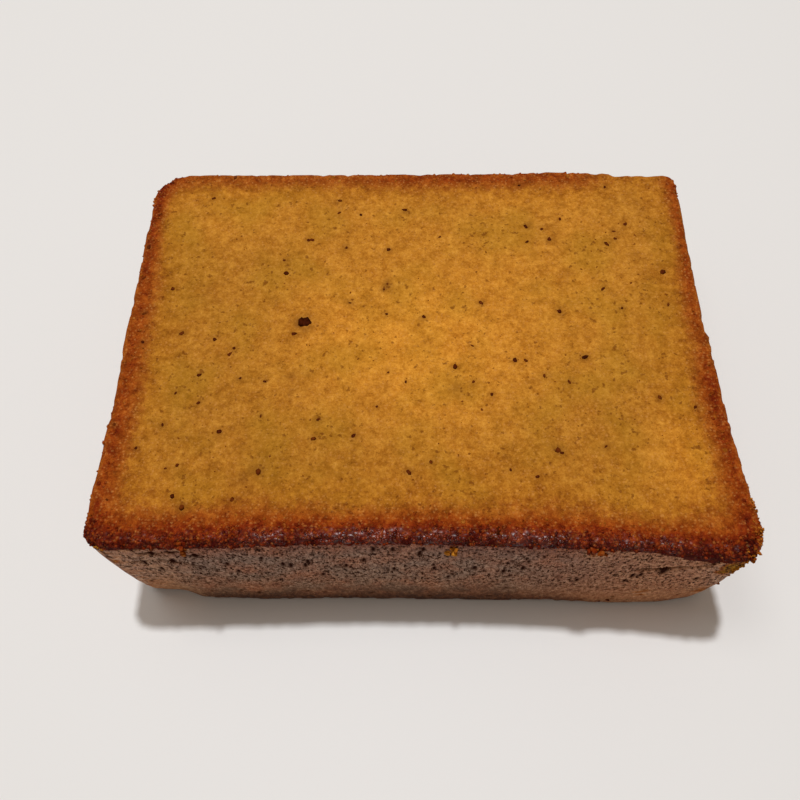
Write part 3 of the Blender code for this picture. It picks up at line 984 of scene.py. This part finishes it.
def baked_skin():
    """Height picks the colour from a ramp, which holds painted shade and painted light low on the wall.
    Redness, painted shade along the foot, wear and tears are laid over it. Then a grain makes it lighter or
    darker, and pores and the painted shade of the hollows come last."""
    material, tree, shader, place = new_finish("browned_cake_skin")
    hollow, torn, foot = (
        add(tree, "ShaderNodeAttribute", {}, take="Fac", attribute_name=name)
        for name in ("hollow", "torn", "foot")
    )
    drawn = add(tree, "ShaderNodeVectorMath", {0: place, 1: DRAWN_UP}, operation="MULTIPLY")
    height = add(tree, "ShaderNodeSeparateXYZ", {0: place}, take="Z")
    across = height.node.outputs["X"]

    # Colour by height, with painted shade at the bottom and painted light low on the wall, ruddier in places
    # and on the right, and painted shade along the foot.
    level = add(tree, "ShaderNodeMath", {0: height, 1: BOX[2]}, operation="DIVIDE")
    colour = add(tree, "ShaderNodeValToRGB", {0: level}, stops=SKIN_COLOURS_AND_PAINTED_LIGHT)
    mottle = add(tree, "ShaderNodeTexNoise", {0: place, "Scale": per(SKIN_MOTTLE), "Detail": 3.0})
    right = add(tree, "ShaderNodeMapRange", {0: across, 1: 10 * MM, 2: 30 * MM, 3: 0.0, 4: 0.8})
    ruddy = add(tree, "ShaderNodeMapRange", {0: mottle, 1: 0.42, 2: 0.68, 3: 0.0, 4: 0.7})
    ruddy = add(tree, "ShaderNodeMath", {0: ruddy, 1: right}, operation="MAXIMUM")
    # Painted shade along the foot, where the slice meets the table.
    dark = add(tree, "ShaderNodeMath", {0: foot, 1: 0.85}, operation="MULTIPLY")

    # Wear and tears: worn skin is pale, then comes orange under-crust, and golden crumb at the deepest.
    worn, under, deep = (
        add(tree, "ShaderNodeMapRange", {0: torn, 1: start, 2: full, 3: 0.0, 4: most})
        for start, full, most in WORN_TO_TORN
    )
    for share, tint in (
        (ruddy, RUDDY_SKIN),
        (dark, PAINTED_FOOT_SHADE_BROWN),
        (worn, WORN_SKIN),
        (under, UNDER_CRUST),
        (deep, TORN_CRUMB),
    ):
        colour = add(tree, "ShaderNodeMix", {0: share, 6: colour, 7: linear(tint)}, take=2, data_type="RGBA")

    # A fine grain over all of it, deeper in colour where it is darker, as in the crumb.
    fine = {"Scale": per(SKIN_GRAIN), "Detail": 3.0, "Roughness": 0.85}
    grain = add(tree, "ShaderNodeTexNoise", {0: drawn, **fine})
    deeper = add(tree, "ShaderNodeMapRange", {0: grain, 1: 0.3, 2: 0.7, 3: 1.36, 4: 0.72})
    colour = add(tree, "ShaderNodeGamma", {0: colour, 1: deeper})
    shade = add(tree, "ShaderNodeMapRange", {0: grain, 1: 0.3, 2: 0.7, 3: 0.65, 4: 1.26})
    colour = add(tree, "ShaderNodeVectorMath", {0: colour, "Scale": shade}, operation="SCALE")

    # Pores, where a fine noise dips low: many shallow ones, and a few deep. They close towards the foot.
    finer = {"Scale": per(SKIN_PORES), "Detail": 3.0, "Roughness": 0.8}
    pores = add(tree, "ShaderNodeTexNoise", {0: drawn, **finer})
    open_share = add(tree, "ShaderNodeMapRange", {0: height, 1: PORES_FROM, 2: PORES_FULL, 3: 0.2, 4: 1.0})
    shallow = add(tree, "ShaderNodeMapRange", {0: pores, 1: 0.5, 2: 0.42, 3: 0.0, 4: 0.7})
    steep = add(tree, "ShaderNodeMapRange", {0: pores, 1: 0.44, 2: 0.38, 3: 0.0, 4: 0.3})
    dot = add(tree, "ShaderNodeMath", {0: shallow, 1: steep}, operation="ADD")
    dot = add(tree, "ShaderNodeMath", {0: dot, 1: open_share}, operation="MULTIPLY")
    # Painted shade in the hollows, the crease, the cracks and the deepest pits.
    dots = add(tree, "ShaderNodeMath", {0: dot, 1: hollow}, operation="MAXIMUM")
    colour = add(tree, "ShaderNodeMix", {0: dots, 6: colour, 7: linear(PORES_AND_HOLLOW_SHADE_BROWN)}, take=2, data_type="RGBA")

    # The sheen is a coat that the pores and the tears break.
    sheen = add(tree, "ShaderNodeMath", {0: dots, 1: under}, operation="MAXIMUM")
    sheen = add(tree, "ShaderNodeMapRange", {0: sheen, 3: 0.33, 4: 0.0})
    rise = add(tree, "ShaderNodeMath", {0: dot, 1: -0.7, 2: grain}, operation="MULTIPLY_ADD")
    bump = add(tree, "ShaderNodeBump", {"Height": rise, "Strength": 0.8, "Distance": 0.14 * MM})
    shader.inputs["Specular IOR Level"].default_value = 0.01
    shader.inputs["Roughness"].default_value = 0.7
    shader.inputs["Coat Roughness"].default_value = 0.35
    tree.links.new(sheen, shader.inputs["Coat Weight"])
    tree.links.new(bump, shader.inputs["Normal"])
    tree.links.new(bump, shader.inputs["Coat Normal"])
    tree.links.new(colour, shader.inputs["Base Color"])
    return material


skin_finish = baked_skin()
print("made", skin_finish.name)

# %% Dress the slice
CRUST_OVER_RIM = 0.9 * MM
CRUST_LOWER_AT_RIGHT = 1.1 * MM
CRUST_LOWER_X = 34.5 * MM
CRUST_LOWER_HALF_WIDTH = 8 * MM
CRUST_RAGGED = ((1.3 * MM, 0.3 * MM, 64),)
body.data.materials.append(crumb_finish)
body.data.materials.append(skin_finish)
crust_depth = CRUST_OVER_RIM + CRUST_LOWER_AT_RIGHT * bell(x, CRUST_LOWER_X, CRUST_LOWER_HALF_WIDTH)
crust_depth = layers(form, CRUST_RAGGED, np.where(box_points[:, 2] > 0, crust_depth, CRUST_OVER_RIM / 2))
is_skin = ((to_cut - crust_depth)[quads].min(1) >= 0).astype(np.int32)
body.data.polygons.foreach_set("material_index", is_skin)
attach(body, "root")
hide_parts(SLICE)
print(int(is_skin.sum()), "faces of skin and", int((1 - is_skin).sum()), "of crumb")

# %% [markdown]
# ## Grains
#
# Crust granules, loose crumbs and tea leaf are all small lumps, so one function makes them. A lump is a
# sphere of 24 triangles, its points pushed in and out by chance, stretched to three sizes and laid on the
# slice. Thousands of them are worked out together as one array, and joined as one mesh.

# %% Many lumps in one mesh
LUMP_SIDES = 6
LUMP_RINGS = 2


def lump():
    """A unit sphere's points and triangles: rings at even steps, and one point at each pole."""
    down = np.arange(1, LUMP_RINGS + 1) * math.pi / (LUMP_RINGS + 1)
    v, u = np.meshgrid(down, np.arange(LUMP_SIDES) * math.tau / LUMP_SIDES, indexing="ij")
    rings = np.stack([np.cos(u) * np.sin(v), np.sin(u) * np.sin(v), np.cos(v)], -1).reshape(-1, 3)
    here = np.arange(LUMP_SIDES)
    beside = (here + 1) % LUMP_SIDES
    caps = [np.stack([here, beside, np.full(LUMP_SIDES, len(rings))], 1)]
    for ring in range(1, LUMP_RINGS):
        upper, lower = (ring - 1) * LUMP_SIDES, ring * LUMP_SIDES
        caps.append(np.stack([here + lower, beside + lower, here + upper], 1))
        caps.append(np.stack([beside + lower, beside + upper, here + upper], 1))
    last = (LUMP_RINGS - 1) * LUMP_SIDES
    caps.append(np.stack([beside + last, here + last, np.full(LUMP_SIDES, len(rings) + 1)], 1))
    return np.vstack([rings, [[0, 0, 1], [0, 0, -1]]]), np.concatenate(caps)


def lumps(name, centres, ups, sizes, roughness, draw):
    """One mesh of many lumps. Each has its own centre, its up direction and three half sizes, two across and
    one up, is turned about its up direction by chance, and has its points pushed in or out by up to the
    roughness. One that would leave the frame's box is slid back into it whole."""
    points, triangles = lump()
    count = len(centres)
    across = np.cross(ups, draw.normal(size=(count, 3)))
    across /= np.linalg.norm(across, axis=1)[:, None]
    axes = np.stack([across, np.cross(ups, across), ups], 1)
    bumps = draw.uniform(1 - roughness, 1 + roughness, (count, len(points), 1))
    placed = centres[:, None] + (points[None] * sizes[:, None] * bumps) @ axes
    too_low = np.maximum(cad_low - placed.min(1), 0)
    too_high = np.maximum(placed.max(1) - cad_high, 0)
    placed += (too_low - too_high)[:, None]
    faces = triangles[None] + (np.arange(count) * len(points))[:, None, None]
    return mesh_from(name, placed.reshape(-1, 3), faces.reshape(-1, 3))


lump_points = len(lump()[0])


def keep_each(made, marks):
    """Stores one number for each lump of a piece, on all the lump's points."""
    for name, values in marks.items():
        keep(made, name, np.repeat(values, lump_points))


print("a lump has", lump_points, "points and", len(lump()[1]), "triangles")

# %% [markdown]
# ## Crust granules
#
# Look closely at the crust's cut edge and it is granular: sugary beads of browned crumb, some nearly black,
# some orange, each with its own point of light. They are thickest at the front lip, and there they make the
# outline uneven too. Each one is sunk well into the slice, so that only its cap shows.

# %% Scatter the crust granules
GRANULE_COUNT = 2300
GRANULE_HALF = (0.15 * MM, 0.31 * MM)
GRANULE_SUNK = 0.5
GRANULE_JITTER = 0.25
GRANULE_STRETCH = (0.75, 1.35)
GRANULE_BROWNING = (-0.22, 0.14)
GRANULE_ROUGHNESS = 0.2
BROWNED_FROM = 0.45
AT_FRONT = (6 * MM, 2 * MM)
ELSEWHERE = 0.3

draw = np.random.default_rng(71)
facing = read_points(body.data, "normal")
on_upper_rim = (to_cut < CRUST_OVER_RIM) & (form[:, 2] > BOX[2] / 2)
density = ELSEWHERE + (1 - ELSEWHERE) * soft_step(wall_gaps["front"], *AT_FRONT)
weight = np.where(on_upper_rim, np.clip(browning - BROWNED_FROM, 0, 1), 0) * density
chosen = draw.choice(len(form), GRANULE_COUNT, p=weight / weight.sum())
half = draw.uniform(*GRANULE_HALF, GRANULE_COUNT)
jitter = draw.uniform(-GRANULE_JITTER, GRANULE_JITTER, (GRANULE_COUNT, 3)) * MM
jitter -= facing[chosen] * (jitter * facing[chosen]).sum(1)[:, None]
centres = skin_points[chosen] + jitter - facing[chosen] * (half * GRANULE_SUNK)[:, None]
granule_sizes = half[:, None] * draw.uniform(*GRANULE_STRETCH, (GRANULE_COUNT, 3))
granules = lumps("crust_granules", centres, facing[chosen], granule_sizes, GRANULE_ROUGHNESS, draw)
own_browning = browning[chosen] + draw.uniform(*GRANULE_BROWNING, GRANULE_COUNT)
keep_each(granules, {"browning": own_browning, "lightness": lightness[chosen], "glaze": glaze[chosen]})
granules.data.materials.append(crumb_finish)
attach(granules, "root")
print(GRANULE_COUNT, "granules,", len(granules.data.polygons), "triangles")

# %% [markdown]
# ## Tea leaf
#
# The leaf is near black where it is thick and brown where it is thin. A fleck is a flat lump, mostly sunk in
# the crumb. Besides the large ones, whose places are known by now, there is a fine scatter on both cut faces,
# thicker in some places than in others and thickest on the stains.

# %% The large flecks, then the scatter
LARGE_FLECK_SCALE = 1.2
SCATTERED_FLECKS = 900
FLECK_LENGTHS = (0.16, 0.46)
FLECK_FLATNESS = 0.16
FLECK_WIDTHS = (0.5, 0.9)
FLECK_ROUGHNESS = 0.32
BLACK_FROM = 1.1 * MM
LISTED_PALENESS = (0.1, 0.4)
SCATTERED_PALENESS = (0.55, 1.1)
CLUSTER_LEVEL = 0.5
CLUSTERS = ((7 * MM, 1.2, 81),)
LEAST_CLUSTER = 0.05
MORE_ON_STAINS = 3
MOST_RIM = 0.5
FLECK_SHIFT = 0.2

listed = upper_cut[shown_at([fleck[:2] for fleck in LARGE_FLECKS], skin_points[upper_cut])]
on_cut = np.flatnonzero(~on_wall & (rim_nearness < MOST_RIM))
cluster = np.clip(layers(form[on_cut], CLUSTERS, CLUSTER_LEVEL), LEAST_CLUSTER, None)
cluster += MORE_ON_STAINS * stain[on_cut]
scattered = draw.choice(on_cut, SCATTERED_FLECKS, p=cluster / cluster.sum())
small = FLECK_LENGTHS[0] + (FLECK_LENGTHS[1] - FLECK_LENGTHS[0]) * draw.uniform(0, 1, SCATTERED_FLECKS) ** 4
lengths = np.concatenate([[LARGE_FLECK_SCALE * fleck[2] for fleck in LARGE_FLECKS], small]) * MM
spots = np.concatenate([listed, scattered])
shift = draw.uniform(-FLECK_SHIFT, FLECK_SHIFT, (len(spots), 3)) * [MM, MM, 0]
shift[:len(listed)] = 0
widths = draw.uniform(*FLECK_WIDTHS, len(spots))
leaf_sizes = np.stack([lengths / 2, lengths / 2 * widths, lengths / 2 * FLECK_FLATNESS], 1)
leaves = lumps("tea_leaf", skin_points[spots] + shift, facing[spots], leaf_sizes, FLECK_ROUGHNESS, draw)
paleness = np.where(lengths > BLACK_FROM, 0.0, draw.uniform(*LISTED_PALENESS, len(spots)))
paleness[len(listed):] = draw.uniform(*SCATTERED_PALENESS, SCATTERED_FLECKS)
keep_each(leaves, {"paleness": paleness})
print(len(spots), "flecks,", len(leaves.data.polygons), "triangles")


# %% Finish: dried tea leaf
LEAF_COLOURS = ((0.1, "#2E0E02"), (0.95, "#945816"), (0.3, "#541F06"), (0.6, "#7C3C0C"))
LEAF_GRAIN = 0.4 * MM


def tea_finish():
    """Paleness and a little grain, added up, pick the colour from a ramp. Dried leaf is matte."""
    material, tree, shader, place = new_finish("dried_black_tea_leaf")
    pale = add(tree, "ShaderNodeAttribute", {}, take="Fac", attribute_name="paleness")
    grain = add(tree, "ShaderNodeTexNoise", {0: place, "Scale": per(LEAF_GRAIN), "Detail": 2.0})
    mixed = add(tree, "ShaderNodeMath", {0: grain, 1: 0.5, 2: pale}, operation="MULTIPLY_ADD")
    mixed = add(tree, "ShaderNodeMath", {0: mixed, 1: 1.5}, operation="DIVIDE")
    colour = add(tree, "ShaderNodeValToRGB", {0: mixed}, stops=LEAF_COLOURS)
    tree.links.new(colour, shader.inputs["Base Color"])
    shader.inputs["Roughness"].default_value = 0.7
    shader.inputs["Specular IOR Level"].default_value = 0.03
    return material


leaves.data.materials.append(tea_finish())
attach(leaves, "root")
print("the tea leaf is dressed")

# %% [markdown]
# ## Loose crumbs
#
# A few crumbs cling where the knife left the crust: orange and yellow ones on the front wall, and a ragged
# fringe at the right front corner. One crumb is a small heap of lumps, so that it looks torn and not round.

# %% Place the loose crumbs
# Where each shows, its width in millimetres, and how brown it is.
LARGE_CRUMBS = (
    (179, 547, 1.3, 0.75), (183, 550, 1.6, 0.55), (449, 551, 1.7, 0.12), (454, 549, 1.2, 0.25),
    (590, 551, 1.8, 0.8), (597, 550, 1.7, 0.65), (603, 553, 1.0, 0.5), (96, 546, 0.8, 0.12),
    (101, 549, 0.6, 0.3), (757, 528, 0.8, 0.5), (761, 530, 0.8, 0.2), (763, 533, 0.6, 0.3),
    (762, 541, 1.0, 0.4), (763, 546, 0.9, 0.5), (759, 552, 1.1, 0.5), (752, 558, 1.2, 0.5),
    (747, 561, 1.0, 0.25), (742, 565, 0.9, 0.05), (737, 568, 0.9, 0.1), (732, 571, 0.8, 0.2),
    (728, 575, 0.6, 0.3), (721, 588, 0.5, 0.5), (608, 600, 0.7, 0.95), (600, 601, 0.5, 0.9),
)
CRUMB_SCATTER = 60
CRUMB_SCATTER_HALF = (0.15, 0.3)
CRUMB_SCATTER_BROWNING = (0.2, 0.7)
CRUMB_LIGHTNESS = 0.85
FRINGE = (BOX[0] / 2 + 1.5 * MM, 4 * MM - BOX[1] / 2, BOX[2])
FRINGE_REACH = 4 * MM
AWAY_FROM_FRINGE = 0.002
LUMPS_IN_A_CRUMB = 8
HEAP_SPREAD = 0.7
HEAP_SUNK = 0.2
HEAP_LUMP = (0.3, 0.6)
HEAP_ROUGHNESS = 0.3
HEAP_BROWNING = 0.1
LEAST_RIM = 0.15
LEAST_BROWN = 0.5

large = np.array(LARGE_CRUMBS)
at_rim = rim_nearness > LEAST_RIM
rims = np.flatnonzero(at_rim & (box_points[:, 2] > 0) & ((browning > LEAST_BROWN) | on_wall))
placed_on = np.flatnonzero(faces_camera & (on_wall | at_rim))
stuck = placed_on[shown_at(large[:, :2], skin_points[placed_on])]
at_corner = np.exp(-(np.linalg.norm(form[rims] - FRINGE, axis=1) / FRINGE_REACH) ** 2) + AWAY_FROM_FRINGE
strewn = draw.choice(rims, CRUMB_SCATTER, p=at_corner / at_corner.sum())
heap_half = np.concatenate([large[:, 2] / 2, draw.uniform(*CRUMB_SCATTER_HALF, CRUMB_SCATTER)]) * MM
heap_browning = np.concatenate([large[:, 3], draw.uniform(*CRUMB_SCATTER_BROWNING, CRUMB_SCATTER)])

heaps = (np.concatenate([stuck, strewn]), heap_half, heap_browning)
under, heap_half, heap_browning = (np.repeat(values, LUMPS_IN_A_CRUMB) for values in heaps)
piled = draw.uniform(-HEAP_SPREAD, HEAP_SPREAD, (len(under), 3)) - HEAP_SUNK * facing[under]
crumb_sizes = heap_half[:, None] * draw.uniform(*HEAP_LUMP, (len(under), 3))
heap_centres = skin_points[under] + heap_half[:, None] * piled
crumbs = lumps("loose_crumbs", heap_centres, facing[under], crumb_sizes, HEAP_ROUGHNESS, draw)
heap_browning = heap_browning + draw.uniform(-HEAP_BROWNING, HEAP_BROWNING, len(under))
keep_each(crumbs, {"browning": heap_browning, "lightness": np.full(len(under), CRUMB_LIGHTNESS)})
crumbs.data.materials.append(crumb_finish)
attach(crumbs, "root")
print(len(LARGE_CRUMBS) + CRUMB_SCATTER, "loose crumbs")

# %% [markdown]
# ## Table and light
#
# The table is plain and pale. The lamp hangs almost straight above and a little behind the slice, so the
# front wall is lit only by the table. A soft light from the left and a pale sky fill the rest.

# %% Table
TABLE_HALF = 1.5
TABLE_BELOW = 0.02 * MM
table_points = np.array([[-1, -1, 0], [1, -1, 0], [1, 1, 0], [-1, 1, 0]]) * [TABLE_HALF, TABLE_HALF, 0]
table = mesh_from("table", table_points - [0, 0, TABLE_BELOW], np.array([[0, 1, 2, 3]]))
table_finish, _, table_shader, _ = new_finish("matt_white_table")
table_shader.inputs["Base Color"].default_value = linear("#EBE9E6")
table_shader.inputs["Roughness"].default_value = 0.6
table.data.materials.append(table_finish)
print("the table is", 2 * TABLE_HALF, "m wide")


# %% Lamps and sky
def lamp(name, azimuth, elevation, distance, size, power, colour):
    """A square area lamp that faces the slice. Azimuth 0 is in front of it, and 90 to its right."""
    data = bpy.data.lights.new(name, "AREA")
    data.size = size
    data.energy = power
    data.color = linear(colour)[:3]
    a, e = math.radians(azimuth), math.radians(elevation)
    back = np.array([math.sin(a) * math.cos(e), -math.cos(a) * math.cos(e), math.sin(e)])
    stand(bpy.data.objects.new(name, data), turned(2, a) @ turned(0, math.pi / 2 - e), back * distance)


lamp("ceiling_lamp", azimuth=-168, elevation=80.6, distance=1.2, size=0.06, power=8.8, colour="#F8FBFF")
lamp("left_fill", azimuth=-112, elevation=72, distance=1.2, size=0.35, power=1.8, colour="#FFFFFF")
sky = bpy.data.worlds.new("pale_room")
sky.use_nodes = True
sky.node_tree.nodes["Background"].inputs["Color"].default_value = linear("#FFEEDD")
sky.node_tree.nodes["Background"].inputs["Strength"].default_value = 0.26
bpy.context.scene.world = sky
bpy.context.scene.view_settings.view_transform = "Standard"
print("two lamps and a pale room")
